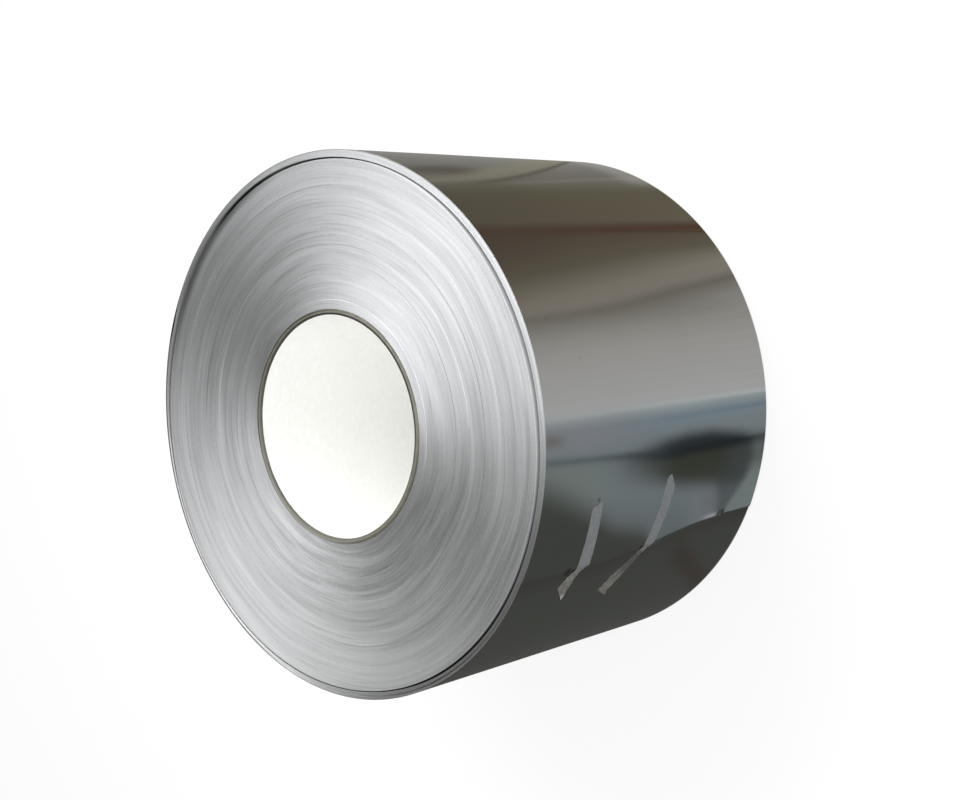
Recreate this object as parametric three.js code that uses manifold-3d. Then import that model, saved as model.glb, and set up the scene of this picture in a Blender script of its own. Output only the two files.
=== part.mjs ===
// A coil of bright cold-rolled steel strip, wound on a fibre core tube and standing on one end.
// Millimetres, +Z up. The winding axis is upright, and the free end of the strip is on the -Y side.
// The origin is on the floor, on the winding axis. Angles are degrees about it, from +X towards +Y.
import * as THREE from 'three';
import { mergeVertices } from 'three/addons/utils/BufferGeometryUtils.js';
import Module from 'manifold-3d';

// Driving dimensions.
const coilDiameter = 1240;      // over the outermost turn
const stripWidth = 830;         // width of the strip, so of every turn
const stripThickness = 1;
const coreBore = 508;           // inner diameter of the core tube: a 20 inch mandrel
const coreWall = 12;
const coreOverhang = 2;         // how far the core tube stands out of the turns at the top
const coreInset = 3;            // how far it stops short of them at the bottom
const coreClearance = 0.3;      // between the core tube and the innermost turn

// The tight winding: groups of turns that wandered up and down a little as they were wound.
const groupCount = 10;
const groupDrift = 1.2;
const groupUnevenness = 0.35;   // how far a group's end strays from its even place, in group widths

// The loose outer turns: they slid upwards and stand off the tight winding.
const looseBuild = 20;          // radial room for the loose turns and the gap under them
const looseSlide = 4;           // how far they stand out at the top
const gapMean = 4;              // radial gap between the tight winding and the loose turns
const gapShift = 2;             // how much the gap is wider on one side and narrower opposite
const gapOval = 1.5;            // how much the loose turns are out of round
const gapDepth = 30;
const gapDirection = -145;      // where the gap is widest

// The free end of the strip, held down by two short tapes. Each tape leans to one side above the
// strip's edge, is folded narrow where it crosses it, and leans away again past it.
const tailAngle = -114.375;
const tapeThickness = 0.4;
const tapeClearance = 0.4;
const tapeWidth = 36;
const tapeFold = 17;            // width of the folded stretch
const foldedBy = 0.25;          // the fold, as shares of the tape's length past the strip's edge
const unfoldsFrom = 0.35;
const unfoldedBy = 0.8;
const firstTapeDown = 203;      // from the top of the loose turns to the tape, at the strip's edge
const firstTapeHeld = 145;      // length on the free end of the strip
const firstTapeHeldLean = 5;
const firstTapePast = 92;       // length past the strip's edge
const firstTapePastLean = 17.5;
const secondTapeDown = 435;
const secondTapeHeld = 155;
const secondTapeHeldLean = -6.3;
const secondTapePast = 116;
const secondTapePastLean = 38;

const segments = 96;            // sides of every turned form
const tapeSteps = 24;
const cutterReach = 10;         // how far the cutting shapes run past the ends of the coil

const coilRadius = coilDiameter / 2;
const coreRadius = coreBore / 2 + coreWall;
const innerRadius = coreRadius + coreClearance;
const tightRadius = coilRadius - looseBuild;
const looseTop = stripWidth / 2 + looseSlide;
const toRadians = THREE.MathUtils.degToRad;

const wasm = await Module();
wasm.setup();

function material(color, roughness, metalness) {
  return new THREE.MeshStandardMaterial({ color, roughness, metalness });
}

function toSolid(geometry) {
  geometry.deleteAttribute('normal');
  geometry.deleteAttribute('uv');
  const merged = mergeVertices(geometry, 1e-3);
  return new wasm.Manifold(new wasm.Mesh({
    numProp: 3,
    vertProperties: new Float32Array(merged.attributes.position.array),
    triVerts: new Uint32Array(merged.index.array),
  }));
}

function toGeometry(solid) {
  const mesh = solid.getMesh();
  const geometry = new THREE.BufferGeometry();
  geometry.setAttribute('position', new THREE.BufferAttribute(mesh.vertProperties, 3));
  geometry.setIndex(new THREE.BufferAttribute(mesh.triVerts, 1));
  geometry.computeVertexNormals();
  return geometry;
}

// Turns a closed outline of (radius, height) points about the Z axis. A corner between two sides
// falls on the free end of the strip.
function turn(outline) {
  const closed = [...outline, outline[0].clone()];
  const start = toRadians(tailAngle) + Math.PI / 2;
  const geometry = new THREE.LatheGeometry(closed, segments, start, 2 * Math.PI);
  return geometry.rotateX(Math.PI / 2);
}

function extrude(outline, bottom, height) {
  const geometry = new THREE.ExtrudeGeometry(outline, {
    depth: height,
    bevelEnabled: false,
    curveSegments: segments,
  });
  return geometry.translate(0, 0, bottom);
}

// The radius at which each group of turns ends, and how far the group sits above its place. The
// step from the tight winding to the loose turns lies within the gap between them.
function turnGroups() {
  const groups = [];
  for (let i = 1; i < groupCount; i += 1) {
    const share = (i + groupUnevenness * Math.sin(5 * i)) / groupCount;
    groups.push({
      outer: THREE.MathUtils.lerp(innerRadius, tightRadius, share),
      shift: groupDrift * Math.sin(2.2 * i + 1),
    });
  }
  groups.push({ outer: tightRadius + gapMean / 4, shift: 0 });
  groups.push({ outer: coilRadius, shift: looseSlide });
  return groups;
}

// Every turn is as wide as the strip, so a step that stands out at one end is a hollow at the other.
function windingOutline() {
  const bottom = [];
  const top = [];
  let inner = innerRadius;
  for (const { outer, shift } of turnGroups()) {
    bottom.push(new THREE.Vector2(inner, shift - stripWidth / 2));
    bottom.push(new THREE.Vector2(outer, shift - stripWidth / 2));
    top.push(new THREE.Vector2(inner, shift + stripWidth / 2));
    top.push(new THREE.Vector2(outer, shift + stripWidth / 2));
    inner = outer;
  }
  return [...bottom, ...top.reverse()];
}

// The outermost turn is one turn of a spiral: it loses one strip thickness on its way round, and the
// free end of the strip is the step between its last point and its first.
function outerTurnOutline() {
  const points = [];
  for (let i = 0; i <= segments; i += 1) {
    const angle = toRadians(tailAngle) + 2 * Math.PI * i / segments;
    const radius = coilRadius - stripThickness * i / segments;
    points.push(new THREE.Vector2(radius * Math.cos(angle), radius * Math.sin(angle)));
  }
  return new THREE.Shape(points);
}

// The gap under the loose turns: round on the tight winding, oval and off centre on the loose turns.
function gapOutline() {
  const direction = toRadians(gapDirection);
  const start = toRadians(tailAngle);
  const outline = new THREE.Shape();
  outline.absellipse(
    gapShift * Math.cos(direction), gapShift * Math.sin(direction),
    tightRadius + gapMean + gapOval, tightRadius + gapMean - gapOval,
    0, 2 * Math.PI, false, direction,
  );
  const winding = new THREE.Path();
  winding.absarc(0, 0, tightRadius, start, start + 2 * Math.PI, false);
  outline.holes.push(winding);
  return outline;
}

function steelCoil() {
  const margin = looseSlide + groupDrift + cutterReach;
  const end = stripWidth / 2;
  const turned = toSolid(turn(windingOutline()));
  const outerTurn = toSolid(extrude(outerTurnOutline(), -end - margin, stripWidth + 2 * margin));
  const topGap = toSolid(extrude(gapOutline(), end - gapDepth, gapDepth + margin));
  const bottomGap = toSolid(extrude(gapOutline(), -end - margin, gapDepth + margin));
  const solid = turned.intersect(outerTurn).subtract(topGap).subtract(bottomGap);
  const mesh = new THREE.Mesh(toGeometry(solid), material(0xb9bcbc, 0.3, 1));
  mesh.name = 'steel_coil';
  return mesh;
}

function coreTube() {
  const bottom = coreInset - stripWidth / 2;
  const top = stripWidth / 2 + coreOverhang;
  const outline = [
    new THREE.Vector2(coreBore / 2, bottom),
    new THREE.Vector2(coreRadius, bottom),
    new THREE.Vector2(coreRadius, top),
    new THREE.Vector2(coreBore / 2, top),
  ];
  const mesh = new THREE.Mesh(turn(outline), material(0x8b8b80, 0.9, 0));
  mesh.name = 'core_tube';
  return mesh;
}

// A point on a tape's middle line, u of the way from its held end to its other end: the arc length
// from the strip's edge, the distance down from the loose turns' top, the width of the tape there
// and the radius of the strip under it.
function tapeStation(tape, u) {
  const arc = THREE.MathUtils.lerp(tape.held, -tape.past, u);
  const lean = toRadians(arc > 0 ? tape.heldLean : tape.pastLean);
  const past = Math.max(-arc / tape.past, 0);
  const narrowing = THREE.MathUtils.smoothstep(past, 0, foldedBy);
  const widening = THREE.MathUtils.smoothstep(past, unfoldsFrom, unfoldedBy);
  return {
    arc,
    down: tape.down - Math.abs(arc) * Math.tan(lean),
    width: THREE.MathUtils.lerp(tapeWidth, tapeFold, narrowing - widening),
    radius: coilRadius - stripThickness * narrowing,
  };
}

// A flat blank wrapped onto the coil: its width stands along the axis, its length goes round it.
function tailTape(tape) {
  const geometry = new THREE.BoxGeometry(1, 1, 1, 1, tapeSteps, 1);
  const position = geometry.attributes.position;
  for (let i = 0; i < position.count; i += 1) {
    const station = tapeStation(tape, 0.5 - position.getY(i));
    const angle = toRadians(tailAngle) + station.arc / coilRadius;
    const radius = station.radius + tapeClearance + tapeThickness * (position.getZ(i) + 0.5);
    const height = looseTop - station.down - station.width * position.getX(i);
    position.setXYZ(i, radius * Math.cos(angle), radius * Math.sin(angle), height);
  }
  geometry.computeVertexNormals();
  const mesh = new THREE.Mesh(geometry, material(0x9a9da0, 0.45, 0));
  mesh.name = tape.name;
  return mesh;
}

const firstTape = {
  name: 'tail_tape_1',
  down: firstTapeDown,
  held: firstTapeHeld,
  heldLean: firstTapeHeldLean,
  past: firstTapePast,
  pastLean: firstTapePastLean,
};
const secondTape = {
  name: 'tail_tape_2',
  down: secondTapeDown,
  held: secondTapeHeld,
  heldLean: secondTapeHeldLean,
  past: secondTapePast,
  pastLean: secondTapePastLean,
};

const coil = new THREE.Group();
coil.add(steelCoil(), coreTube(), tailTape(firstTape), tailTape(secondTape));
coil.position.z = -new THREE.Box3().setFromObject(coil).min.z;

export default coil;
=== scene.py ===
"""A coil of bright cold-rolled steel strip on a fibre core tube, standing on one end.

Metres, +Z up along the winding axis, with the origin on the floor. "angle" is in degrees about the
axis, from +X towards +Y. "side" is the angle from -Y, where the strip's free end is, and "down" is the
distance below the top edge of the loose outer turns: together they name a place on the round side.
"""

import bpy
import numpy as np
from mathutils import Matrix, Vector


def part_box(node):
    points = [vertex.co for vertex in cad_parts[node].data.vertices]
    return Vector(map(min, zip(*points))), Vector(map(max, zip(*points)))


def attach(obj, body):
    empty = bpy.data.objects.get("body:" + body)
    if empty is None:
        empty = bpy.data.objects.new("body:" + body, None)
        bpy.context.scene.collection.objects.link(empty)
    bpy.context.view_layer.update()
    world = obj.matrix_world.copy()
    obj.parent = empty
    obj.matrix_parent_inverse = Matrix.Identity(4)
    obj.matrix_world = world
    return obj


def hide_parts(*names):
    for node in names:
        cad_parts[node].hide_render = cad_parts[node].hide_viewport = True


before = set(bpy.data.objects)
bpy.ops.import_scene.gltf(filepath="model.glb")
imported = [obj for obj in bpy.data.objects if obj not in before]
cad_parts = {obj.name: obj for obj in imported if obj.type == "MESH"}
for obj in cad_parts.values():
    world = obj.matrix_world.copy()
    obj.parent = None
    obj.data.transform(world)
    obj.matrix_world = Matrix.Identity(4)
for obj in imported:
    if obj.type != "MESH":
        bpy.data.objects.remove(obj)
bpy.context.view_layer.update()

MM = 0.001
DEGREE = np.pi / 180

# The coil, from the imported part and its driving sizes.
COIL_LOW, COIL_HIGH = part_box("steel_coil")
CORE_LOW, CORE_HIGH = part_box("core_tube")
COIL_RADIUS = 620 * MM
TIGHT_RADIUS = 600 * MM
CORE_BORE_RADIUS = 254 * MM
CORE_RADIUS = 266 * MM
CORE_CLEARANCE = 0.3 * MM
STRIP = 1 * MM
STRIP_WIDTH = 830 * MM
LOOSE_SLIDE = 4 * MM
LOOSE_TOP = COIL_HIGH.z
LOOSE_BOTTOM = LOOSE_TOP - STRIP_WIDTH
WOUND_TOP = LOOSE_TOP - LOOSE_SLIDE
WOUND_BOTTOM = WOUND_TOP - STRIP_WIDTH
FLOOR = COIL_LOW.z
FACING_SIDE = -90.0             # the angle where side is 0

# The groups of turns that wandered as they were wound, as in the part.
GROUP_COUNT = 10
GROUP_DRIFT = 1.2 * MM
GROUP_UNEVENNESS = 0.35         # how far a group's end strays from its even place, in group widths
GAP_DEPTH = 30 * MM

# The free end of the strip: the side it ends at along the top edge, and how it springs off the coil.
TAIL_SIDE = -25.9
TAIL_SKEW = 4.5                 # how much nearer to side 0 the cut is at the bottom
TAIL_SKEW_START = 0.24          # how far down it starts to turn there
TAIL_SKEW_END = 0.68
TAIL_NOTCH = 0.4                # a small step in the cut
TAIL_NOTCH_START = 0.700        # how far down the step starts
TAIL_NOTCH_END = 0.708
TAIL_LIFT = 1.2 * MM
TAIL_LIFT_ARC = 7.0
UNDER_TAIL = 0.15 * MM          # what is left of the last turn's thickness under its free end

# The tapes that hold it. Each has its stations from the held end on: side and down of the left edge,
# side and down of the right edge, and the height off the steel.
FILM = 0.2 * MM                 # thickness
FIRST_TAPE = [
    (-12.6, 0.172, -11.4, 0.205, 0.0),
    (-25.4, 0.180, -25.5, 0.221, 0.0),
    (-26.5, 0.175, -27.0, 0.198, 0.15 * MM),
    (-27.5, 0.163, -28.4, 0.190, 0.2 * MM),
    (-30.4, 0.143, -32.0, 0.184, 0.2 * MM),
    (-31.3, 0.154, -34.0, 0.182, 0.3 * MM),
]
SECOND_TAPE = [
    (-9.2, 0.438, -8.8, 0.450, 0.0),
    (-9.9, 0.436, -11.6, 0.470, 0.0),
    (-24.5, 0.413, -24.3, 0.450, 0.0),
    (-26.4, 0.390, -26.7, 0.412, 0.15 * MM),
    (-27.4, 0.377, -28.4, 0.401, 0.2 * MM),
    (-29.7, 0.349, -31.0, 0.382, 0.2 * MM),
    (-31.3, 0.333, -33.0, 0.368, 0.2 * MM),
    (-33.6, 0.319, -35.3, 0.355, 0.2 * MM),
    (-34.2, 0.311, -36.8, 0.362, 0.3 * MM),
]
FIRST_TAPE_TIP = (-33.6, 0.179)     # side and down
SECOND_TAPE_FOLD = (-28.0, 0.388)

# The sides where the ends of the coil are lighter, darker or more uneven than all round; much of it is
# painted highlight and painted shade.
UNEVEN_SIDE = 290.0             # where the turns differ most from each other
HIGHLIGHT_INNER_SIDE = 45.0         # where the inner turns are lighter, a painted highlight
HIGHLIGHT_OUTER_SIDE = 260.0        # where the outer turns are
SHADED_LOOSE_SIDE = -48.0               # where painted shade darkens the edges of the loose turns
DARK_EDGE_SIDE = 202.0          # where the outermost of them are dark
SHADED_GAP_SIDE = -42.0           # where painted shade darkens the gap under them
OTHER_SHADED_GAP_SIDE = 121.0
GAP_SHADE_SIDE = 140.0              # where painted shade darkens the tight turns along the gap
PALE_CORE_SIDE = 235.0          # where the core tube's cut end is pale
SHADED_CORE_SIDE = 148.0         # where painted shade darkens it along its outer edge
OTHER_SHADED_CORE_SIDE = 312.0
DARK_BORE_SIDE = 80.0          # where it is darker along the bore
DARKEST_BORE_SIDE = 65.0

# The camera stands off the top end and is rolled, so that the axis runs across the picture.
CAMERA_PLACE = Vector((0.442, -2.5126, LOOSE_TOP + 2.3159))
CAMERA_FORWARD = Vector((-0.1111, 0.6620, -0.7412))
CAMERA_UP = Vector((0.9938, 0.0740, -0.0829))
CAMERA_LENS = 57.02

# The stage: how far it reaches, and how much of its light the round side gives back, as linear RGBA.
HALL_RADIUS = 14.0
STRIP_SHINE = np.array([0.58, 0.58, 0.58, 1.0])
HALF_WAY_DOWN = 0.4             # about half the strip's width


def linear(code):
    """An sRGB hex colour as linear RGBA."""
    channels = np.array([int(code[i:i + 2], 16) for i in (1, 3, 5)]) / 255
    low = channels / 12.92
    high = ((channels + 0.055) / 1.055) ** 2.4
    return (*np.where(channels <= 0.04045, low, high), 1.0)


def smooth(value, start, end):
    """0 before start, 1 past end and an even S between them."""
    share = np.clip((value - start) / (end - start), 0, 1)
    return share * share * (3 - 2 * share)


def swell(value, middle, reach):
    """1 at middle, falling evenly to 0 at reach on both sides."""
    return 1 - smooth(np.abs(value - middle), 0, reach)


def blot(side, down, middle, size):
    """1 at the middle of an ellipse, falling evenly to 0 at its rim. size is its two half widths."""
    return swell(np.hypot((side - middle[0]) / size[0], (down - middle[1]) / size[1]), 0, 1)


def turned_from(angle, middle):
    """The angle from middle, between -180 and 180."""
    return (angle - middle + 180) % 360 - 180


# Surfaces.

def grid_faces(index):
    """Four-sided faces between neighbours of a grid of point numbers."""
    corners = (index[:-1, :-1], index[:-1, 1:], index[1:, 1:], index[1:, :-1])
    return np.stack(corners, axis=-1).reshape(-1, 4)


def new_piece(name, points, faces, smooth_angle=35):
    """An object at the origin from points and faces, smooth where faces meet at less than an angle."""
    mesh = bpy.data.meshes.new(name)
    mesh.from_pydata(points.reshape(-1, 3), [], faces)
    mesh.polygons.foreach_set("use_smooth", np.ones(len(faces), dtype=bool))
    mesh.set_sharp_from_angle(angle=smooth_angle * DEGREE)
    piece = bpy.data.objects.new(name, mesh)
    bpy.context.scene.collection.objects.link(piece)
    return piece


def surface(name, points):
    """An open sheet from points[row, column]."""
    rows, columns = points.shape[:2]
    return new_piece(name, points, grid_faces(np.arange(rows * columns).reshape(rows, columns)))


def ring(name, row_blocks, smooth_angle):
    """A closed body round the axis from blocks of rows, one after the other. Each row closes on itself,
    and the last row joins the first."""
    points = np.concatenate(row_blocks)
    rows, columns = points.shape[:2]
    index = np.arange(rows * columns).reshape(rows, columns)
    return new_piece(name, points, grid_faces(np.pad(index, ((0, 1), (0, 1)), mode="wrap")), smooth_angle)


def slab(name, front, back, smooth_angle=40):
    """A closed thin body: the grid front, the grid back turned over, and a wall round their border."""
    rows, columns = front.shape[:2]
    upper = np.arange(rows * columns).reshape(rows, columns)
    lower = upper + rows * columns
    border = np.concatenate([
        upper[0, :-1], upper[:-1, -1], upper[-1, :0:-1], upper[:0:-1, 0]])
    walls = np.stack([np.append(border, border[0]), np.append(border, border[0]) + rows * columns], axis=1)
    faces = np.concatenate([grid_faces(upper), grid_faces(lower)[:, ::-1], grid_faces(walls)])
    return new_piece(name, np.stack([front, back]), faces, smooth_angle)


def row_finishes(piece, columns, *row_lists):
    """Gives the faces in each list of a ring's rows the piece's next material after its first."""
    row = np.arange(len(piece.data.polygons)) // columns
    finish = np.zeros(len(row), dtype=np.int32)
    for number, rows in enumerate(row_lists, 1):
        finish[np.isin(row, rows)] = number
    piece.data.polygons.foreach_set("material_index", finish)


def on_axis(radius, angle, height):
    """Points at radius, angle in degrees and height, as x, y, z."""
    turned = angle * DEGREE
    return np.stack(np.broadcast_arrays(
        radius * np.cos(turned), radius * np.sin(turned), height), axis=-1)


def round_ripple(draw, rows, angle, waves, size):
    """For each row its own sum of cosines round the axis, with random shares and phases: a relief
    that closes on itself after a turn."""
    total = np.zeros((rows, angle.shape[-1]))
    for wave in range(waves):
        share = draw.normal(0, size / (1 + wave / 3), (rows, 1))
        phase = draw.uniform(0, 2 * np.pi, (rows, 1))
        total += share * np.cos(wave * angle * DEGREE + phase)
    return total


def blend_rows(relief, reach):
    """Each row averaged with its neighbours up to reach rows away."""
    window = np.hanning(2 * reach + 3)[1:-1]
    window /= window.sum()
    padded = np.pad(relief, ((reach, reach), (0, 0)), mode="edge")
    return sum(weight * padded[i:i + len(relief)] for i, weight in enumerate(window))


def group_ends():
    """The radii at which the groups of turns end."""
    group = np.arange(1, GROUP_COUNT)
    share = (group + GROUP_UNEVENNESS * np.sin(5 * group)) / GROUP_COUNT
    inner = CORE_RADIUS + CORE_CLEARANCE
    return inner + (TIGHT_RADIUS - inner) * share


def group_shift(radius):
    """How far the group of turns at this radius sits above its place."""
    group = 1 + np.searchsorted(group_ends(), radius)
    return np.where(group < GROUP_COUNT, GROUP_DRIFT * np.sin(2.2 * group + 1), 0)


def loose_gap(side):
    """The gap between the tight winding and the loose turns: widest in one long crescent and on the
    side next to it, open again on the far side, and closed most between that and the crescent."""
    crescent = 5.3 * swell(turned_from(side, -41), 0, 45)
    near_side = 6.0 * swell(turned_from(side, 20), 0, 80)
    far_side = 5.5 * swell(turned_from(side, 126), 0, 56)
    closed = 0.8 * swell(turned_from(side, 228), 0, 50)
    return (1.4 + crescent + near_side + far_side - closed) * MM


def gap_depth(side):
    """How deep the gap runs at the top end: on one side it is closed off not far down."""
    return GAP_DEPTH - 20 * MM * swell(turned_from(side, 76), 0, 44)


def wound_radius(side):
    """The outside of the tight winding at its ends: on one side more turns lie tight than on the other."""
    more = 11 * swell(turned_from(side, 215), 0, 80)
    fewer = 3 * swell(turned_from(side, 15), 0, 90)
    return TIGHT_RADIUS + (more - fewer) * MM


def shoulder(side):
    """How far the edges of the last tight turns are worn away where they face the gap."""
    return (0.5 + 6.5 * swell(turned_from(side, 22), 0, 66)) * MM


def settled(side):
    """How far the loose turns have slid back on one side."""
    return 2.4 * MM * swell(turned_from(side, 228), 0, 75)


def tight_wall(angle):
    """Rows of points up the outside of the tight winding. It is set back at both ends, where the
    loose turns stand off, and its top edge is worn away."""
    ledge = 1 * MM
    into_loose_turns = 0.2 * MM
    side = angle - FACING_SIDE
    wall = wound_radius(side)[None, :]
    worn = shoulder(side)[None, :]
    waist = wall + loose_gap(side)[None, :] + into_loose_turns
    deep = gap_depth(side)[None, :]
    slope = np.linspace(1, 0, 7)[:-1, None]
    return np.concatenate([
        on_axis(wall, angle[None, :], WOUND_BOTTOM + GAP_DEPTH),
        on_axis(waist, angle[None, :], WOUND_BOTTOM + GAP_DEPTH + ledge),
        on_axis(waist, angle[None, :], WOUND_TOP - deep - ledge),
        on_axis(wall, angle[None, :], WOUND_TOP - deep),
        on_axis(wall - worn * (1 - slope), angle[None, :], WOUND_TOP - worn * slope ** 1.4),
    ])


def tight_turns():
    """The tight winding as a ring: out along the bottom end, up the outside, in along the top end
    and down the inside. The rows of an end are a turn or two each, at their own height, which
    ripples round the axis. Where a group of turns ends, two close rows make a sharp step, higher on
    one side than on the other."""
    draw = np.random.default_rng(4)
    columns = 256
    half_step = 0.1 * MM
    angle = np.arange(columns) * 360 / columns
    even = np.linspace(CORE_RADIUS + CORE_CLEARANCE, TIGHT_RADIUS, 150)
    ripple = round_ripple(draw, len(even), angle, 9, 0.02 * MM)
    ripple += blend_rows(round_ripple(draw, len(even), angle, 7, 0.05 * MM), 2)
    ends = group_ends()
    radius = np.sort(np.concatenate([even, ends - half_step, ends + half_step]))
    relief = np.stack([np.interp(radius, even, column) for column in ripple.T], axis=1)
    group = np.searchsorted(ends, radius)[:, None]
    step = group_shift(radius)[:, None] * (0.6 + 0.4 * np.cos((angle - 140 * group) * DEGREE))
    side = angle - FACING_SIDE
    edge = (wound_radius(side) - shoulder(side))[None, :]
    part = (radius - even[0]) / (even[-1] - even[0])
    reach = radius[:, None] + (edge - TIGHT_RADIUS) * smooth(part, 0.9, 1)[:, None]
    top = WOUND_TOP + step + relief
    bottom = np.maximum(WOUND_BOTTOM + step - relief[:, ::-1], FLOOR)
    outside = tight_wall(angle)
    piece = ring("tight_turns", [
        on_axis(reach, angle[None, :], bottom),
        outside,
        on_axis(reach[::-1], angle[None, :], top[::-1]),
    ], 60)
    # The walls and the steps between groups get flats with painted shade.
    walls = np.arange(len(radius) - 1, len(radius) + len(outside))
    steps = np.searchsorted(radius, ends) - 1
    last_row = 2 * len(radius) + len(outside) - 2
    row_finishes(piece, columns, walls, np.concatenate([steps, last_row - steps]))
    return piece


def parting(side):
    """How far the last turn stands off the one under it, in a short crescent."""
    return 5.0 * MM * swell(turned_from(side, 160.5), 0, 9)


def loose_turns():
    """The loose outer turns under the last one, as a ring: each turn's edge is a low crown between two
    grooves. On one side the ring splits in the middle, and on another the last turn parts from it.
    Its walls, and the top edge of its outermost turn, have the second finish, a painted shade."""
    draw = np.random.default_rng(9)
    turns = 12
    rows_a_turn = 4
    top_groove = 0.15 * MM
    bottom_groove = 0.2 * MM
    under_last = 0.1 * MM
    set_back = 0.3 * MM
    angle = np.arange(360.0)
    side = angle - FACING_SIDE
    inside = wound_radius(side) + loose_gap(side)
    outside = COIL_RADIUS - STRIP - under_last - parting(side)
    part = np.linspace(0, 1, turns * rows_a_turn + 1)[:, None]
    radius = inside[None, :] + (outside - inside)[None, :] * part
    crown = np.abs(np.sin(np.pi * part * turns)) ** 0.5
    split = 3.5 * MM * swell(turned_from(side, -58), 0, 42)[None, :] * swell(part, 0.55, 0.12)
    wander = blend_rows(round_ripple(draw, len(part), angle, 8, 0.08 * MM), 2)
    top = LOOSE_TOP - set_back - settled(side) - top_groove * (1 - crown) - split + wander
    bottom = LOOSE_BOTTOM + set_back + bottom_groove * (1 - crown) - wander
    piece = ring("loose_turns", [
        on_axis(radius, angle[None, :], bottom),
        on_axis(radius[::-1], angle[None, :], top[::-1]),
    ], 60)
    # The walls and the outermost turn's top edge get painted shade, as under the parting last turn.
    outer_wall = len(part) - 1
    inner_wall = 2 * len(part) - 1
    outermost_turn = outer_wall + 1 + np.arange(rows_a_turn)
    row_finishes(piece, len(angle), [outer_wall, *outermost_turn, inner_wall])
    return piece


def tail_side(down):
    """The side at which the strip ends: a cut that is a little skewed, with one small step in it."""
    skew = TAIL_SKEW * smooth(down, TAIL_SKEW_START, TAIL_SKEW_END)
    notch = TAIL_NOTCH * smooth(down, TAIL_NOTCH_START, TAIL_NOTCH_END)
    return TAIL_SIDE + skew + notch


def tail_spring(past_end):
    """How far the free end stands off the coil, a number of degrees from its edge."""
    share = 1 - np.clip(past_end / TAIL_LIFT_ARC, 0, 1)
    return TAIL_LIFT * share ** 2


def outer_turn():
    """The last turn as a thin sheet round the coil, from its free end to one turn further on. Its
    radius loses the strip's thickness in a turn, so it thins out underneath the free end. It waves
    a little, except along the free end, which is dented at its notch."""
    off_loose_turns = 0.02 * MM
    fine_reach = 14
    dent_middle, dent_size = (0.4, 0.695), (1.6, 0.014)
    columns = np.concatenate([np.arange(0, fine_reach, 0.25), np.arange(fine_reach, 361, 1.0)])[None, :]
    down = np.linspace(0, STRIP_WIDTH, 104)[:, None]
    side = tail_side(down) + columns
    height = LOOSE_TOP - down - settled(side) * (1 - down / STRIP_WIDTH)
    wave = 0.08 * MM * np.sin(side * DEGREE * 9 + 5 * np.sin(down * 5))
    wave += 0.10 * MM * np.sin(down * 14 + 3 * np.cos(side * DEGREE * 2))
    waving = smooth(columns, 4, fine_reach) * (1 - smooth(columns, 290, 345))
    dent = 0.25 * MM * blot(columns, down, dent_middle, dent_size)
    spring = tail_spring(columns) - dent
    outer = COIL_RADIUS - (STRIP - UNDER_TAIL) * columns / 360 + spring + wave * waving
    inner = COIL_RADIUS - STRIP + off_loose_turns + spring
    angle = side + FACING_SIDE
    piece = slab(
        "outer_turn",
        on_axis(outer, angle, height)[:, ::-1],
        on_axis(inner, angle, height)[:, ::-1])
    flat = (outer.shape[0] - 1) * (outer.shape[1] - 1)
    border = len(piece.data.polygons) - 2 * flat
    # The back has the near-black second finish, a painted shade under the last turn.
    piece.data.polygons.foreach_set("material_index", np.repeat([0, 1, 2], [flat, flat, border]))
    return piece


def core_board_tube():
    """The core tube as a ring: its wall is plies of board, which end in low steps, and its inside
    shows the seam of the innermost strip of board as a helix."""
    draw = np.random.default_rng(2)
    columns = 256
    plies = 8
    pitch = 160 * MM
    angle = np.arange(columns) * 360 / columns
    part = np.linspace(0, 1, plies * 4 + 1)[:, None]
    radius = CORE_BORE_RADIUS + (CORE_RADIUS - CORE_BORE_RADIUS) * part
    groove = 0.35 * MM * (1 - np.abs(np.sin(np.pi * part * plies)) ** 0.4)
    wander = blend_rows(round_ripple(draw, len(part), angle, 10, 0.12 * MM), 1)
    wall = np.linspace(0, 1, 130)[:, None]
    height = CORE_LOW.z + (CORE_HIGH.z - CORE_LOW.z) * wall
    along = (height / pitch + angle[None, :] / 360) % 1
    seam = 0.5 * MM * swell(along, 0.5, 0.02)
    piece = ring("core_board_tube", [
        on_axis(radius, angle[None, :], CORE_LOW.z + groove - wander),
        on_axis(radius[::-1], angle[None, :], CORE_HIGH.z - groove + wander),
        on_axis(CORE_BORE_RADIUS + seam[::-1][1:-1], angle[None, :], height[::-1][1:-1]),
    ], 50)
    row_finishes(piece, columns, np.arange(2 * len(part), 2 * len(part) + len(wall) - 2))
    return piece


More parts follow.
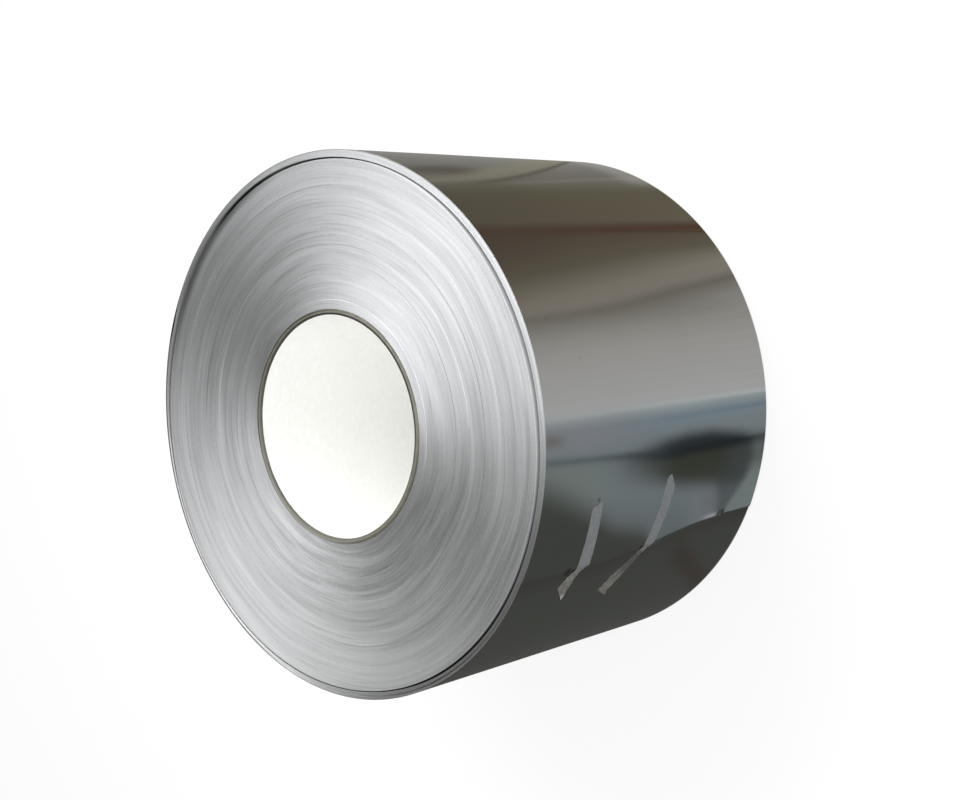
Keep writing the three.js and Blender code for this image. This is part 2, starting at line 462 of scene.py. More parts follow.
def tape(name, stations):
    """A strip of film, straight between stations. Each station is (side, down) of its left edge,
    (side, down) of its right edge, and the height off the steel. Between its edges the film is
    a little domed and creased, and it bridges the step at the strip's free end. Past that end it is
    crumpled, and has the second finish."""
    clearance = 0.15 * MM
    bridge_start, bridge_end = -1.6, 0.1
    rows_between = 12
    given = np.array(stations)
    steps = np.linspace(0, len(given) - 1, rows_between * (len(given) - 1) + 1)
    value = np.stack([np.interp(steps, np.arange(len(given)), column) for column in given.T])
    side_left, down_left, side_right, down_right, lift = value[:, :, None]
    across = np.linspace(0, 1, 13)[None, :]
    side = side_left + (side_right - side_left) * across
    down = down_left + (down_right - down_left) * across
    past = side - tail_side(down)
    on_strip = COIL_RADIUS + tail_spring(past)
    off_strip = COIL_RADIUS - STRIP + UNDER_TAIL
    base = off_strip + (on_strip - off_strip) * smooth(past, bridge_start, bridge_end)
    dome = (0.2 * MM + 0.3 * lift) * 4 * across * (1 - across)
    crease = 0.12 * MM * np.sin(across * 9 + steps[:, None] * 2.1) * np.sin(steps[:, None] * 5.3)
    radius = base + clearance + lift + dome + crease
    angle = side + FACING_SIDE
    piece = slab(
        name,
        on_axis(radius + FILM, angle, LOOSE_TOP - down)[:, ::-1],
        on_axis(radius, angle, LOOSE_TOP - down)[:, ::-1], 60)
    middle = np.array([face.center.to_tuple() for face in piece.data.polygons])
    middle_side = np.arctan2(middle[:, 1], middle[:, 0]) / DEGREE - FACING_SIDE
    crumpled = middle_side < tail_side(LOOSE_TOP - middle[:, 2])
    piece.data.polygons.foreach_set("material_index", crumpled.astype(np.int32))
    return piece


# Materials.

def node(tree, kind, feeds=None, **settings):
    """Adds a node with its settings. feeds gives an input its value, or the output that feeds it."""
    made = tree.nodes.new(kind)
    for key, value in settings.items():
        setattr(made, key, value)
    for key, value in (feeds or {}).items():
        if isinstance(value, bpy.types.NodeSocket):
            tree.links.new(value, made.inputs[key])
        else:
            made.inputs[key].default_value = value
    return made


def new_material(name):
    """A material with an empty node tree."""
    material = bpy.data.materials.new(name)
    material.use_nodes = True
    material.node_tree.nodes.clear()
    return material, material.node_tree


def flat_place(tree):
    """The place on the piece, without its height."""
    place = node(tree, "ShaderNodeTexCoord").outputs["Object"]
    return node(tree, "ShaderNodeVectorMath", {0: place, 1: (1, 1, 0)}, operation="MULTIPLY").outputs[0]


def from_axis(tree):
    """The distance from the axis."""
    return node(tree, "ShaderNodeVectorMath", {0: flat_place(tree)}, operation="LENGTH").outputs["Value"]


def outward(tree):
    """The direction straight out from the axis."""
    return node(tree, "ShaderNodeVectorMath", {0: flat_place(tree)}, operation="NORMALIZE").outputs[0]


def round_axis(tree, round_scale, radius_scale, height_scale, waver=0.0):
    """A vector whose x and y turn with the angle and whose z grows with radius and height, so that
    noise read there runs round the axis without a seam. waver lets it stray in and out on the way."""
    facing = outward(tree)
    stray = node(tree, "ShaderNodeTexNoise", {"Vector": facing, "Scale": 1.2, "Detail": 1.0}).outputs[0]
    radius = node(tree, "ShaderNodeMath", {
        0: stray, 1: waver, 2: from_axis(tree)}, operation="MULTIPLY_ADD").outputs[0]
    turned = node(
        tree, "ShaderNodeVectorMath", {0: facing, "Scale": round_scale}, operation="SCALE").outputs[0]
    place = node(tree, "ShaderNodeTexCoord").outputs["Object"]
    height = node(tree, "ShaderNodeSeparateXYZ", {0: place}).outputs["Z"]
    raised = node(tree, "ShaderNodeMath", {0: height, 1: height_scale}, operation="MULTIPLY").outputs[0]
    level = node(
        tree, "ShaderNodeMath", {0: radius, 1: radius_scale, 2: raised}, operation="MULTIPLY_ADD").outputs[0]
    lifted = node(tree, "ShaderNodeCombineXYZ", {"Z": level}).outputs[0]
    return node(tree, "ShaderNodeVectorMath", {0: turned, 1: lifted}, operation="ADD").outputs[0]


def streaks(tree, turns_round, millimetres, detail=1.0):
    """Noise drawn out round the axis: its streaks are some millimetres apart, and there are
    turns_round of them to a radian."""
    waver = 38 * MM
    return node(tree, "ShaderNodeTexNoise", {
        "Vector": round_axis(tree, turns_round, 1 / (millimetres * MM), 0, waver), "Scale": 1.0,
        "Detail": detail, "Roughness": 0.6}).outputs[0]


def towards_side(tree, side, start, end, most):
    """A share that grows up to most on the ends of the coil, from the cosine start to the cosine end
    of the angle from this side."""
    cosine = node(tree, "ShaderNodeVectorMath", {
        0: outward(tree), 1: on_axis(1, side + FACING_SIDE, 0)}, operation="DOT_PRODUCT").outputs["Value"]
    return node(tree, "ShaderNodeMapRange", {
        "Value": cosine, "From Min": start, "From Max": end, "To Max": most}).outputs[0]


def past_radius(tree, start, end):
    """A share that grows from 0 to 1 between two distances from the axis."""
    return node(tree, "ShaderNodeMapRange", {
        "Value": from_axis(tree), "From Min": start, "From Max": end}).outputs[0]


def near_radius(tree, middle, reach):
    """A share that is 1 at a distance from the axis and falls to 0 at a reach from there."""
    off = node(tree, "ShaderNodeMath", {0: from_axis(tree), 1: middle}, operation="SUBTRACT").outputs[0]
    distance = node(tree, "ShaderNodeMath", {0: off}, operation="ABSOLUTE").outputs[0]
    return node(tree, "ShaderNodeMapRange", {
        "Value": distance, "From Min": reach, "From Max": 0}).outputs[0]


def near_spot(tree, side, down, reach):
    """A share that is 1 near one place on the round side and falls to 0 at a reach from it."""
    place = node(tree, "ShaderNodeTexCoord").outputs["Object"]
    spot = on_axis(COIL_RADIUS, side + FACING_SIDE, LOOSE_TOP - down)
    distance = node(tree, "ShaderNodeVectorMath", {
        0: place, 1: spot}, operation="DISTANCE").outputs["Value"]
    return node(tree, "ShaderNodeMapRange", {
        "Value": distance, "From Min": reach, "From Max": 0.4 * reach}).outputs[0]


def stained(tree, colour, share, other_share, stain):
    """A colour under a stain of another, by the product of two shares."""
    both = node(tree, "ShaderNodeMath", {0: share, 1: other_share}, operation="MULTIPLY").outputs[0]
    return node(tree, "ShaderNodeMix", {0: both, 6: colour, 7: linear(stain)}, data_type="RGBA").outputs[2]


def slit_edge_steel():
    """Sheared edges of cold-rolled strip, side by side: bright, and scratched round the axis, so what
    they mirror is drawn out towards it. Each turn is a little lighter or darker than the next, most
    of all on one side, and a few stand back in their own shade. The inner turns are lighter on one
    side and the outer turns on another, a painted highlight. Painted shade darkens the loose turns on
    one side and the tight turns along the gap in between, and the last loose turns are darker on the far
    side."""
    material, tree = new_material("slit_edge_steel")
    place = node(tree, "ShaderNodeTexCoord").outputs["Object"]
    pattern = node(tree, "ShaderNodeTexNoise", {
        "Vector": place, "Scale": 1 / (5 * MM), "Detail": 1.0}).outputs[0]
    for streak, weight in (
            (streaks(tree, 4.5, 3.2), 2.0), (streaks(tree, 1.6, 9.0, 2.0), 3.0),
            (streaks(tree, 1.2, 28.0), 3.0)):
        pattern = node(tree, "ShaderNodeMath", {
            0: streak, 1: weight, 2: pattern}, operation="MULTIPLY_ADD").outputs[0]
    tone = node(tree, "ShaderNodeMapRange", {
        "Value": pattern, "From Min": 3.4, "From Max": 5.6}).outputs[0]
    inner_turns = past_radius(tree, 430 * MM, 300 * MM)
    outer_turns = past_radius(tree, 320 * MM, 540 * MM)
    limits = []
    # The lighter colours towards two sides are a painted highlight.
    for plain, uneven, highlight_tone in (("#d0d1d1", "#bebfbf", "#e2e3e3"), ("#f0f1f1", "#f6f7f7", "#fcfdfd")):
        limit = stained(tree, linear(plain), towards_side(tree, UNEVEN_SIDE, 0.3, 0.8, 1.0), 1.0, uneven)
        limit = stained(tree, limit, towards_side(tree, HIGHLIGHT_INNER_SIDE, 0.3, 0.9, 1.0), inner_turns, highlight_tone)
        limit = stained(tree, limit, towards_side(tree, HIGHLIGHT_OUTER_SIDE, 0.4, 0.9, 1.0), outer_turns, highlight_tone)
        limits.append(limit)
    colour = node(tree, "ShaderNodeMix", {
        0: tone, 6: limits[0], 7: limits[1]}, data_type="RGBA").outputs[2]
    shade = node(tree, "ShaderNodeMapRange", {
        "Value": streaks(tree, 1.3, 5.0), "From Min": 0.64, "From Max": 0.74, "To Max": 0.35}).outputs[0]
    colour = stained(tree, colour, shade, 1.0, "#8f908f")
    # Painted shade on the loose turns' edges on one side.
    colour = stained(
        tree, colour, past_radius(tree, TIGHT_RADIUS + 1 * MM, TIGHT_RADIUS + 5 * MM),
        towards_side(tree, SHADED_LOOSE_SIDE, 0.55, 0.85, 0.65), "#7b7c79")
    colour = stained(
        tree, colour, past_radius(tree, COIL_RADIUS - 6 * MM, COIL_RADIUS - 4 * MM),
        towards_side(tree, DARK_EDGE_SIDE, 0.6, 0.8, 0.9), "#4b4c4a")
    # Painted shade on the tight turns along the gap on one side.
    colour = stained(
        tree, colour, near_radius(tree, TIGHT_RADIUS - 3 * MM, 17 * MM),
        towards_side(tree, GAP_SHADE_SIDE, 0.85, 0.98, 0.7), "#565756")
    bump = node(tree, "ShaderNodeBump", {
        "Height": streaks(tree, 12.0, 2.2), "Strength": 0.05, "Distance": 0.5 * MM}).outputs[0]
    shader = node(tree, "ShaderNodeBsdfPrincipled", {
        "Base Color": colour, "Metallic": 1.0, "Roughness": 0.36, "Anisotropic": 0.9,
        "Tangent": outward(tree), "Normal": bump}).outputs[0]
    node(tree, "ShaderNodeOutputMaterial", {"Surface": shader})
    return material


def bright_strip_steel():
    """The flat of cold-rolled strip: nearly a mirror, with faint rolling lines round the coil that
    blur what it shows along the axis. It is darker at the notch in its free end, a painted shade of
    the dent there, and in a few dark specks by the first tape and high on one side."""
    material, tree = new_material("bright_strip_steel")
    lines = node(tree, "ShaderNodeTexNoise", {
        "Vector": round_axis(tree, 2.0, 0, 1 / (3 * MM)), "Scale": 1.0, "Detail": 3.0,
        "Roughness": 0.6}).outputs[0]
    oil = node(tree, "ShaderNodeTexNoise", {
        "Vector": round_axis(tree, 2.5, 0, 1 / (240 * MM)), "Scale": 1.0, "Detail": 3.0,
        "Roughness": 0.5}).outputs[0]
    colour = node(tree, "ShaderNodeMix", {
        0: oil, 6: linear("#c3c5c4"), 7: linear("#cbccca")}, data_type="RGBA").outputs[2]
    # The two spots at the notch are painted shade of the dent; the other three are dark specks.
    for side, down, reach, most in (
            (-20.7, 0.690, 11 * MM, 0.7), (-20.7, 0.704, 12 * MM, 0.8), (-26.3, 0.153, 15 * MM, 0.6),
            (-11.1, 0.190, 7 * MM, 0.5), (17.0, 0.141, 6 * MM, 0.12)):
        colour = stained(tree, colour, near_spot(tree, side, down, reach), most, "#4a4b4b")
    rough = node(tree, "ShaderNodeMapRange", {
        "Value": lines, "From Min": 0.3, "From Max": 0.7, "To Min": 0.08, "To Max": 0.12}).outputs[0]
    shader = node(tree, "ShaderNodeBsdfPrincipled", {
        "Base Color": colour, "Metallic": 1.0, "Roughness": rough, "Anisotropic": 0.8,
        "Tangent": (0.0, 0.0, 1.0)}).outputs[0]
    node(tree, "ShaderNodeOutputMaterial", {"Surface": shader})
    return material


def shaded_strip_steel(name, top, deep_shade, light, side_shade, side_shade_light):
    """Flats that stand in a gap between turns: light at the height top and darker the deeper they
    lie, a painted shade. On one long side they are darker at both heights, and on one short side
    darker deep down, painted shade as well."""
    material, tree = new_material(name)
    long_side = towards_side(tree, SHADED_GAP_SIDE, 0.6, 0.9, 1.0)
    short_side = towards_side(tree, OTHER_SHADED_GAP_SIDE, 0.975, 0.995, 1.0)
    deep = stained(tree, linear(deep_shade), long_side, 1.0, side_shade)
    deep = stained(tree, deep, short_side, 1.0, side_shade)
    shown = stained(tree, linear(light), long_side, 1.0, side_shade_light)
    place = node(tree, "ShaderNodeTexCoord").outputs["Object"]
    height = node(tree, "ShaderNodeSeparateXYZ", {0: place}).outputs["Z"]
    near_top = node(tree, "ShaderNodeMapRange", {
        "Value": height, "From Min": top - 7 * MM, "From Max": top}).outputs[0]
    colour = node(tree, "ShaderNodeMix", {0: near_top, 6: deep, 7: shown}, data_type="RGBA").outputs[2]
    shader = node(tree, "ShaderNodeBsdfPrincipled", {
        "Base Color": colour, "Metallic": 0.4, "Roughness": 0.5}).outputs[0]
    node(tree, "ShaderNodeOutputMaterial", {"Surface": shader})
    return material


def board(name, dark, light, strength, cut_end):
    """Spiral-wound core board: matt and fibrous, between two colours. A cut end is pale on one side,
    darker along the bore, most of all on one side, and darker along its outer edge on two others, a
    painted shade where it meets the steel."""
    material, tree = new_material(name)
    fibres = node(tree, "ShaderNodeTexNoise", {
        "Vector": round_axis(tree, 14.0, 1 / (2 * MM), 1 / (9 * MM)), "Scale": 1.0, "Detail": 4.0,
        "Roughness": 0.6}).outputs[0]
    tone = node(tree, "ShaderNodeMapRange", {
        "Value": fibres, "From Min": 0.3, "From Max": 0.7}).outputs[0]
    colour = node(tree, "ShaderNodeMix", {
        0: tone, 6: linear(dark), 7: linear(light)}, data_type="RGBA").outputs[2]
    if cut_end:
        outer = past_radius(tree, CORE_RADIUS - 6.5 * MM, CORE_RADIUS - 4 * MM)
        inner = past_radius(tree, CORE_BORE_RADIUS + 5.5 * MM, CORE_BORE_RADIUS + 3.5 * MM)
        # Darker along the outer edge is painted shade where the tube meets the steel.
        for edge, share, stain in (
                (1.0, towards_side(tree, PALE_CORE_SIDE, 0.4, 0.9, 0.6), "#7b7a73"),
                (outer, towards_side(tree, SHADED_CORE_SIDE, 0.3, 0.8, 0.9), "#2b2a20"),
                (outer, towards_side(tree, OTHER_SHADED_CORE_SIDE, 0.6, 0.9, 0.6), "#2b2a20"),
                (inner, 0.3, "#1d1b17"),
                (inner, towards_side(tree, DARK_BORE_SIDE, -0.5, 0.2, 0.5), "#1d1b17"),
                (inner, towards_side(tree, DARKEST_BORE_SIDE, 0.0, 0.8, 0.9), "#1d1b17")):
            colour = stained(tree, colour, edge, share, stain)
    bump = node(tree, "ShaderNodeBump", {
        "Height": fibres, "Strength": strength, "Distance": 0.3 * MM}).outputs[0]
    shader = node(tree, "ShaderNodeBsdfPrincipled", {
        "Base Color": colour, "Roughness": 0.85, "Normal": bump}).outputs[0]
    node(tree, "ShaderNodeOutputMaterial", {"Surface": shader})
    return material


def packing_film(name, dark, light, wrinkles, worn):
    """Clear packing tape with a greyed back: thin, smooth, wrinkled and half see-through. It may have
    painted light: a painted highlight at the curled tip of the first tape and a painted shade at the fold of
    the second."""
    material, tree = new_material(name)
    place = node(tree, "ShaderNodeTexCoord").outputs["Object"]
    wrinkle = node(tree, "ShaderNodeTexNoise", {
        "Vector": place, "Scale": 1 / (9 * MM), "Detail": 3.0, "Roughness": 0.6}).outputs[0]
    spread = node(tree, "ShaderNodeMapRange", {
        "Value": wrinkle, "From Min": 0.3, "From Max": 0.7}).outputs[0]
    colour = node(tree, "ShaderNodeMix", {
        0: spread, 6: linear(dark), 7: linear(light)}, data_type="RGBA").outputs[2]
    # worn marks the painted highlight at the first tape's tip and the painted shade at the second's fold.
    if worn:
        colour = stained(tree, colour, near_spot(tree, *FIRST_TAPE_TIP, 16 * MM), 0.6, "#d4d4d2")
        colour = stained(tree, colour, near_spot(tree, *SECOND_TAPE_FOLD, 50 * MM), 0.6, "#454442")
    bump = node(tree, "ShaderNodeBump", {
        "Height": wrinkle, "Strength": wrinkles, "Distance": 0.5 * MM}).outputs[0]
    shader = node(tree, "ShaderNodeBsdfPrincipled", {
        "Base Color": colour, "Roughness": 0.35, "Alpha": 0.7, "Normal": bump}).outputs[0]
    node(tree, "ShaderNodeOutputMaterial", {"Surface": shader})
    return material


# Stage.

def glossy_only(piece):
    """Only reflections show the piece."""
    piece.visible_camera = False
    piece.visible_diffuse = False
    piece.visible_transmission = False
    piece.visible_volume_scatter = False
    piece.visible_shadow = False


def painted_card(piece, colours):
    """Gives a stage card its own light, from one linear colour for each point."""
    layer = piece.data.color_attributes.new("tone", "FLOAT_COLOR", "POINT")
    layer.data.foreach_set("color", np.ascontiguousarray(colours, dtype=np.float32).ravel())
    material, tree = new_material(piece.name)
    tone = node(tree, "ShaderNodeVertexColor", layer_name="tone").outputs[0]
    light = node(tree, "ShaderNodeEmission", {"Color": tone, "Strength": 1.0}).outputs[0]
    node(tree, "ShaderNodeOutputMaterial", {"Surface": light})
    material.cycles.emission_sampling = "NONE"
    piece.data.materials.append(material)
    glossy_only(piece)


def tone_ramp(value, stops):
    """Linear colours between (place, hex) stops."""
    places = [place for place, code in stops]
    colours = np.array([linear(code) for place, code in stops])
    return np.stack([np.interp(value, places, colours[:, i]) for i in range(4)], axis=-1)


def over(below, above, share):
    """One colour laid over another by a share."""
    return below + (np.array(linear(above)) - below) * share[..., None]


def band_place(side, down):
    """The side at which the band through a place lies half-way down: the bands lean."""
    lean = np.interp(side, [-2, 6, 20, 24, 28, 38, 46, 60], [0, 0, 3, 5, 12, 11, 2, 4])
    return side - lean * (down - HALF_WAY_DOWN)


def hall_bands(side, down):
    """Warm dark bands of a hall over a pale floor, which ends in a bluish edge. The edge is greyer
    towards the top, with one brownish place on it."""
    place = band_place(side, down)
    tones = tone_ramp(place, [
        (0, "#6e7579"), (2.2, "#6e7980"), (3, "#66727b"), (5.2, "#858c8f"), (6, "#a0a4a6"),
        (6.8, "#9a9a9a"), (18, "#918e8c"), (22, "#84827d"), (27.5, "#625e57"), (29.5, "#756f68"),
        (32, "#736e65"), (38, "#554f44"), (46.5, "#493d35"), (48, "#564f44"), (58, "#534e41"),
        (63, "#605d56"), (84, "#757471")])
    tones = tones * (1 + 0.30 * (down - HALF_WAY_DOWN) * swell(side, 48, 24))[..., None]
    tones = over(tones, "#44291f", 0.6 * swell(place, 45.6, 1.3) * smooth(down, 0.05, 0.4))
    tones = over(tones, "#3a2820", 0.6 * swell(side, 45.1, 0.5) * smooth(down, 0.38, 0.44))
    tones = over(tones, "#77767b", 0.7 * (1 - smooth(down, 0.1, 0.45)) * swell(place, 2.5, 5))
    return over(tones, "#5e524f", 0.8 * blot(side, down, (2, 0.02), (2, 0.07)))


def high_wedge(tones, side, down):
    """Lays over the highest bands a pale wedge between two lines, a second line under it, a reddish
    place beside it, a paler one at the far end and a dark one near the top."""
    foot = 60.8 + 3 * down + 36 * down ** 2
    head = foot + np.interp(down, [0, 0.1, 0.3, 0.5], [2.5, 3, 6, 7])
    wedge = smooth(side, foot - 0.3, foot + 0.5) * (1 - smooth(side, head - 2, head + 1))
    tones = over(tones, "#716f63", 0.95 * wedge)
    tones = over(tones, "#47443a", 0.85 * swell(side, foot - 0.8, 1.1) * smooth(down, 0.05, 0.25))
    tones = over(tones, "#706d64", 0.9 * swell(side, 59.2 + 9.5 * down, 1.1) * smooth(down, 0.15, 0.4))
    tones = over(tones, "#583f36", 0.5 * blot(side, down, (66.5, 0.11), (3, 0.12)))
    tones = over(tones, "#8a8783", 0.6 * smooth(down, 0.68, 0.80) * smooth(side, 61, 66))
    near_top = swell(side, 66.3 + 11 * down, 3.4) * (1 - smooth(down, 0.14, 0.28))
    return over(tones, "#494740", 0.75 * near_top)


def floor_edge(down):
    """The side at which the pale floor ends."""
    return -1.9 - 4.5 * np.minimum(down, 0.42)


def band_foot(down):
    """The side at which the grey band under that edge gives way to the dark."""
    foot = np.interp(down, [0, 0.27, 0.39, 0.45], [-6.5, -16.5, -18.6, -24])
    return np.maximum(foot, tail_side(down) + 0.3)


def band_shares(side, down):
    """How much of a place lies under the floor's edge, and how much above the foot of the band."""
    edge = floor_edge(down)
    foot = band_foot(down)
    fade = np.interp(down, [0, 0.42, 0.48], [4.5, 4, 0.3])
    return 1 - smooth(side, edge - 0.3, edge + 0.3), smooth(side, foot - fade, foot + fade)


def grey_band(tones, side, down):
    """Lays a grey band under the floor's edge, down to the dark. It is bluish in the middle and
    dimmer low down."""
    below_edge, above_foot = band_shares(side, down)
    band = below_edge * above_foot
    bluish = smooth(down, 0.12, 0.3) * (1 - 0.7 * smooth(down, 0.6, 0.75))
    dimmer = smooth(-side, 8, 24) * (1 - smooth(down, 0.5, 0.65))
    tones = over(tones, "#3c3d3a", below_edge)
    tones = over(tones, "#69706f", band)
    tones = over(tones, "#696f74", 0.8 * band * bluish)
    return over(tones, "#565c5d", 0.8 * band * dimmer)


def black_shape(tones, side, down):
    """Lays over the grey band a line along the floor's edge, which thickens into a black shape. At its
    far end a greyer lobe hangs from it down to the notch in the strip's end, between two slanting
    limits."""
    below_edge, above_foot = band_shares(side, down)
    edge = floor_edge(down)
    foot = band_foot(down)
    bottom = np.interp(down, [0.2, 0.4, 0.5, 0.6, 0.8], [-7, -10, -12, -13, -14])
    blur = np.interp(down, [0.3, 0.6, 0.8], [3, 2.6, 2])
    right = np.interp(
        side, [-21, -19.3, -17.5, -16, -14, -9, -5], [0.700, 0.709, 0.726, 0.745, 0.759, 0.778, 0.770])
    left = np.interp(side, [-21, -19, -17, -15, -12], [0.663, 0.668, 0.668, 0.655, 0.635])
    spread = np.interp(side, [-20, -16, -12], [0.012, 0.020, 0.032])
    past_right = 1 - 0.38 * smooth(side, -13, -8)
    before = 1 - past_right * smooth(down, right - spread, right + spread)
    body = smooth(down, 0.16, 0.48) * smooth(side, bottom - blur, bottom + blur) * before
    body = body * (1 - smooth(side, edge - 0.5, edge + 0.5))
    lobe = smooth(down, left - 0.03, left + 0.02) * before * (1 - smooth(side, -13, -10))
    haze = blot(side, down, (-17, 0.635), (6, 0.075))
    tones = over(tones, "#5f6066", 0.7 * haze * below_edge * above_foot)
    tones = over(tones, "#4b5052", 0.9 * lobe * below_edge * smooth(side, foot - 0.4, foot))
    tones = over(tones, "#34362f", body * np.interp(side, [-22, -8], [0.8, 1.0]) * above_foot)
    tones = over(tones, "#3f4548", 0.6 * body * smooth(down, 0.62, 0.74))
    roof = np.interp(down, [0.25, 0.4, 0.5, 0.6, 0.7, 0.78], [-2.6, -1.7, -1.0, -1.2, -2.4, -3.2])
    core = smooth(down, 0.22, 0.45) * (1 - 0.45 * smooth(down, 0.70, 0.80))
    core = core * smooth(-side, -roof - 2.0, -roof + 1.5) * (1 - smooth(-side, 4.2, 6.5))
    tones = over(tones, "#1d2124", 0.95 * core)
    tones = over(tones, "#41484b", swell(side, edge, 0.9) * (1 - smooth(down, 0.3, 0.45)))
    line = swell(side, edge - 0.1, 1.2) * smooth(down, 0.12, 0.34) * (1 - smooth(down, 0.4, 0.5))
    return over(tones, "#2b3033", 0.7 * line)


def free_end_marks(tones, side, down):
    """Adds a pale line where the free end springs off the coil, up to the notch. In the dark past the
    end it adds a shade along it and one warm streak."""
    springing = side - tail_side(down) - 1.1
    tones = over(tones, "#b2b0b8", 0.9 * swell(springing, 0, 0.5) * swell(down, 0.652, 0.055))
    past_end = tail_side(down) - side
    tones = over(tones, "#31302d", 0.5 * smooth(past_end, -0.5, 0.5) * (1 - smooth(past_end, 0.5, 4.5)))
    streak = swell(side, -29 - 62 * (down - 0.58), 6) * smooth(down, 0.48, 0.62)
    return over(tones, "#34292a", 0.5 * streak)


def mirrored_picture(side, down):
    """What each place on the round side mirrors, as the colour it then shows, with a faint grain
    along the bands."""
    tones = hall_bands(side, down)
    for layer in (high_wedge, grey_band, black_shape, free_end_marks):
        tones = layer(tones, side, down)
    place = band_place(side, down)
    grain = np.sin(3.1 * place + 3 * down) + np.sin(7.7 * place + 1) + np.sin(17.3 * place - 5 * down)
    return tones * (1 + 0.015 * grain)[..., None]


def ground_card():
    """What the round side mirrors to the camera. Each point of the card lies where a mirror on the
    round side at (side, down) turns the camera's line of sight to, on the floor."""
    height = FLOOR + 1 * MM
    side = np.arange(-64, 84, 0.25)[None, :]
    above = np.linspace(-1.9, -0.1, 30)
    along = np.append(np.arange(0, STRIP_WIDTH - 1 * MM, 8 * MM), STRIP_WIDTH - 0.5 * MM)
    down = np.append(above, along)[:, None]
    normal = on_axis(1.0, side + FACING_SIDE, 0 * down)
    place = on_axis(COIL_RADIUS, side + FACING_SIDE, LOOSE_TOP - down)
    sight = place - np.array(CAMERA_PLACE)
    mirrored = sight - 2 * (sight * normal).sum(-1, keepdims=True) * normal
    reach = (height - place[..., 2]) / mirrored[..., 2]
    points = place + reach[..., None] * mirrored
    card = surface("ground_card", points)
    seen_side, seen_down = np.broadcast_arrays(side, np.maximum(down, 0))
    painted_card(card, mirrored_picture(seen_side, seen_down) / STRIP_SHINE)
    return card


def hall_floor():
    """The rest of the ground, as the back of the coil mirrors it: soft bands that run outwards."""
    height = FLOOR + 0.4 * MM
    side = np.arange(-180, 181, 3.0)[None, :]
    away = np.geomspace(0.5, HALL_RADIUS, 24)[:, None]
    card = surface("hall_floor", on_axis(away, side + FACING_SIDE, height))
    tones = tone_ramp(side + 0 * away, [
        (-180, "#7d8081"), (-165, "#6f7170"), (-150, "#5c5d5a"), (-132, "#4b4c48"), (-100, "#6d6e6a"),
        (-60, "#9a9b98"), (0, "#7d7d79"), (60, "#a3a29d"), (100, "#76746c"), (128, "#565349"),
        (146, "#a5a6a4"), (160, "#c6c9ca"), (170, "#7c7f80"), (180, "#7d8081")])
    painted_card(card, tones / STRIP_SHINE)
    return card


def hall_dome():
    """What the ends of the coil mirror. The edges of the turns are scratched round the axis, so
    a sector of the end mirrors what lies in line with it, seen past the straight mirror. The dome's
    colour follows the sector that it shows in: daylight in two opposite ones. It also follows how
    far an end has to tilt to show it: dark straight in the mirror, and an even grey far from it."""
    azimuth = np.linspace(-180, 180, 241)[None, :]
    height = np.linspace(-2, 90, 90)[:, None]
    towards = on_axis(np.cos(height * DEGREE), azimuth, np.sin(height * DEGREE))
    half = towards - np.array(CAMERA_FORWARD.normalized())
    sector = np.arctan2(half[..., 1], half[..., 0]) / DEGREE - FACING_SIDE
    tilt = np.arctan2(np.hypot(half[..., 0], half[..., 1]), half[..., 2]) / DEGREE
    share = np.clip(tilt / 11, 0, 1)
    sunny = 2.06 * swell(turned_from(sector, 57), 0, 95) + 0.3 * swell(turned_from(sector, 12), 0, 22)
    sunny = sunny * share * (1 - smooth(tilt, 38, 55))
    other = 0.58 * swell(turned_from(sector, 263), 0, 150) + 0.07 * swell(turned_from(sector, 238), 0, 55)
    other = other * share + 0.35 * smooth(tilt, 40, 60)
    sunny_tint = np.array([0.985, 0.99, 1.01, 1.0])
    other_tint = np.array([0.99, 1.0, 0.99, 1.0])
    tones = sunny[..., None] * sunny_tint + other[..., None] * other_tint
    dome = surface("hall_dome", (HALL_RADIUS * towards)[:, ::-1])
    painted_card(dome, tones[:, ::-1])
    return dome


def pale_floor():
    """A plain off-white floor. The camera sees it a little evened out, with a light shadow."""
    reach = 20.0
    points = np.array([[(x, y, FLOOR) for x in (reach, -reach)] for y in (-reach, reach)])
    floor = surface("pale_floor", points)
    material, tree = new_material("pale_floor")
    paint = node(tree, "ShaderNodeBsdfPrincipled", {"Base Color": linear("#f6f6f6"), "Roughness": 0.9})
    glow = node(tree, "ShaderNodeEmission", {"Color": linear("#fdfdfd"), "Strength": 1.0})
    seen = node(tree, "ShaderNodeLightPath").outputs["Is Camera Ray"]
    share = node(tree, "ShaderNodeMath", {0: seen, 1: 0.8}, operation="MULTIPLY").outputs[0]
    shader = node(tree, "ShaderNodeMixShader", {0: share, 1: paint.outputs[0], 2: glow.outputs[0]})
    node(tree, "ShaderNodeOutputMaterial", {"Surface": shader.outputs[0]})
    floor.data.materials.append(material)
    return floor


def add_lamp(name, place, aim, width, length, watts):
    """A soft rectangular lamp that reflections don't show."""
    lamp = bpy.data.lights.new(name, "AREA")
    lamp.shape = "RECTANGLE"
    lamp.size = width
    lamp.size_y = length
    lamp.energy = watts
    holder = bpy.data.objects.new(name, lamp)
    bpy.context.scene.collection.objects.link(holder)
    holder.visible_glossy = False
    holder.location = place
    holder.rotation_mode = "QUATERNION"
    holder.rotation_quaternion = (aim - place).to_track_quat("-Z", "Y")


def add_lights():
    """An even pale surround, one large soft lamp overhead, towards +X, and one that reaches into the
    bore."""
    world = bpy.data.worlds.new("surround")
    bpy.context.scene.world = world
    world.use_nodes = True
    background = world.node_tree.nodes["Background"]
    background.inputs["Color"].default_value = (1, 1, 1, 1)
    background.inputs["Strength"].default_value = 0.75
    add_lamp("overhead_lamp", Vector((1.6, 0.6, 3.6)), Vector((0, 0, LOOSE_TOP)),
             width=2.4, length=1.2, watts=110)
    add_lamp("bore_lamp", Vector((-0.3, -1.6, 3.2)), Vector((0, 0.2, LOOSE_TOP - 0.3)),
             width=1.0, length=1.0, watts=40)


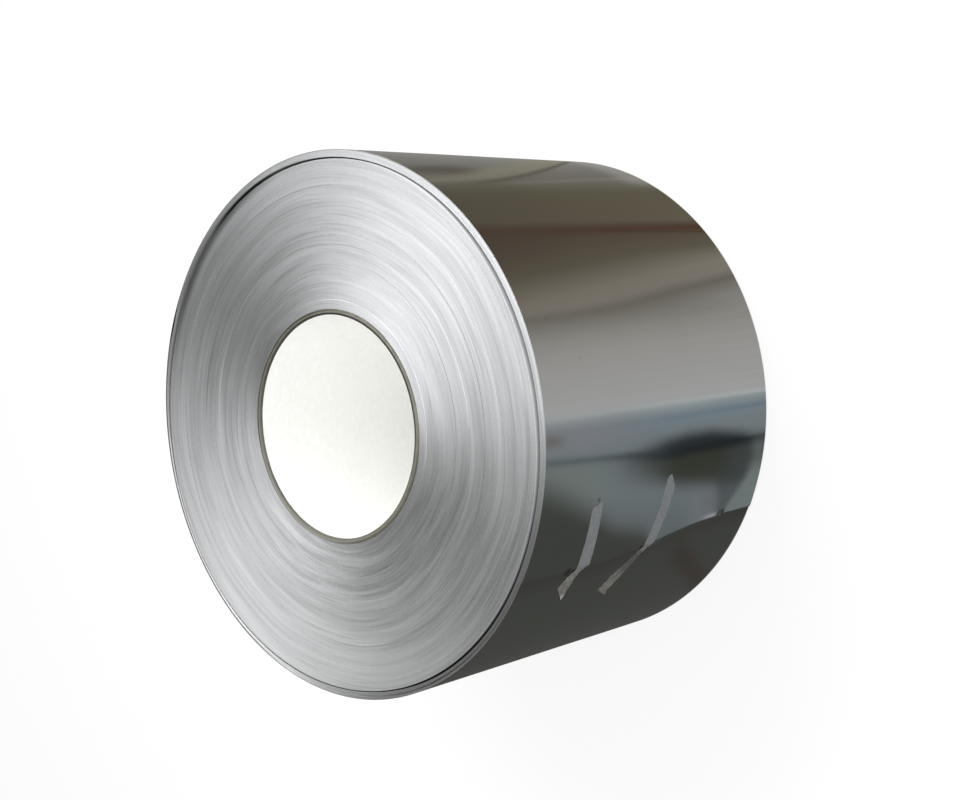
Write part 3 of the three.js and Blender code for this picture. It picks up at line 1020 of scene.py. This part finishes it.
def add_camera():
    """The camera, from where it stands, where it looks and which way is up in the picture."""
    data = bpy.data.cameras.new("camera")
    data.lens = CAMERA_LENS
    data.sensor_width = 36
    camera = bpy.data.objects.new("camera", data)
    bpy.context.scene.collection.objects.link(camera)
    forward = CAMERA_FORWARD.normalized()
    right = forward.cross(CAMERA_UP).normalized()
    up = right.cross(forward)
    turn = Matrix((right, up, -forward)).transposed()
    camera.matrix_world = Matrix.Translation(CAMERA_PLACE) @ turn.to_4x4()
    bpy.context.scene.camera = camera


# Assembly.

def dress(piece, slot, solid, *materials):
    """Gives a piece its body and its materials, and hides the solid that it stands for. Its slot is not
    used.
    """
    for material in materials:
        piece.data.materials.append(material)
    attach(piece, "root")
    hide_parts(solid)


edges = slit_edge_steel()
strip_flat = bright_strip_steel()
# Flats with painted shade: the tight turns' walls and worn shoulder, the loose turns' walls and outermost
# edge, the steps between groups and the back of the last turn.
shoulder_shade_flat = shaded_strip_steel("shoulder_shade_steel", WOUND_TOP, "#7c7d7c", "#a4a5a6", "#292b29", "#87888a")
loose_flat = shaded_strip_steel("loose_strip_steel", LOOSE_TOP, "#7c7d7c", "#8a8b88", "#2b2d2b", "#6c6d6a")
step_flat = shaded_strip_steel("stepped_strip_steel", WOUND_TOP, "#8a8b8a", "#9a9b9a", "#7c7d7c", "#8a8b8a")
hidden_flat = shaded_strip_steel("hidden_strip_steel", LOOSE_TOP, "#1a1b1a", "#2c2d2b", "#1a1b1a", "#2c2d2b")
films = [
    packing_film("packing_film", "#74787a", "#898c8e", 0.3, False),
    packing_film("crumpled_film", "#5b5a57", "#918f8b", 0.8, True)]
dress(tight_turns(), "bright_steel", "steel_coil", edges, shoulder_shade_flat, step_flat)
dress(loose_turns(), "bright_steel", "steel_coil", edges, loose_flat)
dress(outer_turn(), "bright_steel", "steel_coil", strip_flat, hidden_flat, edges)
dress(core_board_tube(), "core_board", "core_tube",
      board("cut_core_board", "#59584f", "#77766c", 0.4, True),
      board("core_lining", "#f4f4f1", "#fbfbf9", 0.1, False))
dress(tape("film_tape_1", FIRST_TAPE), "tape", "tail_tape_1", *films)
dress(tape("film_tape_2", SECOND_TAPE), "tape", "tail_tape_2", *films)

pale_floor()
ground_card()
hall_floor()
hall_dome()
add_lights()
add_camera()
bpy.context.scene.view_settings.view_transform = "Standard"
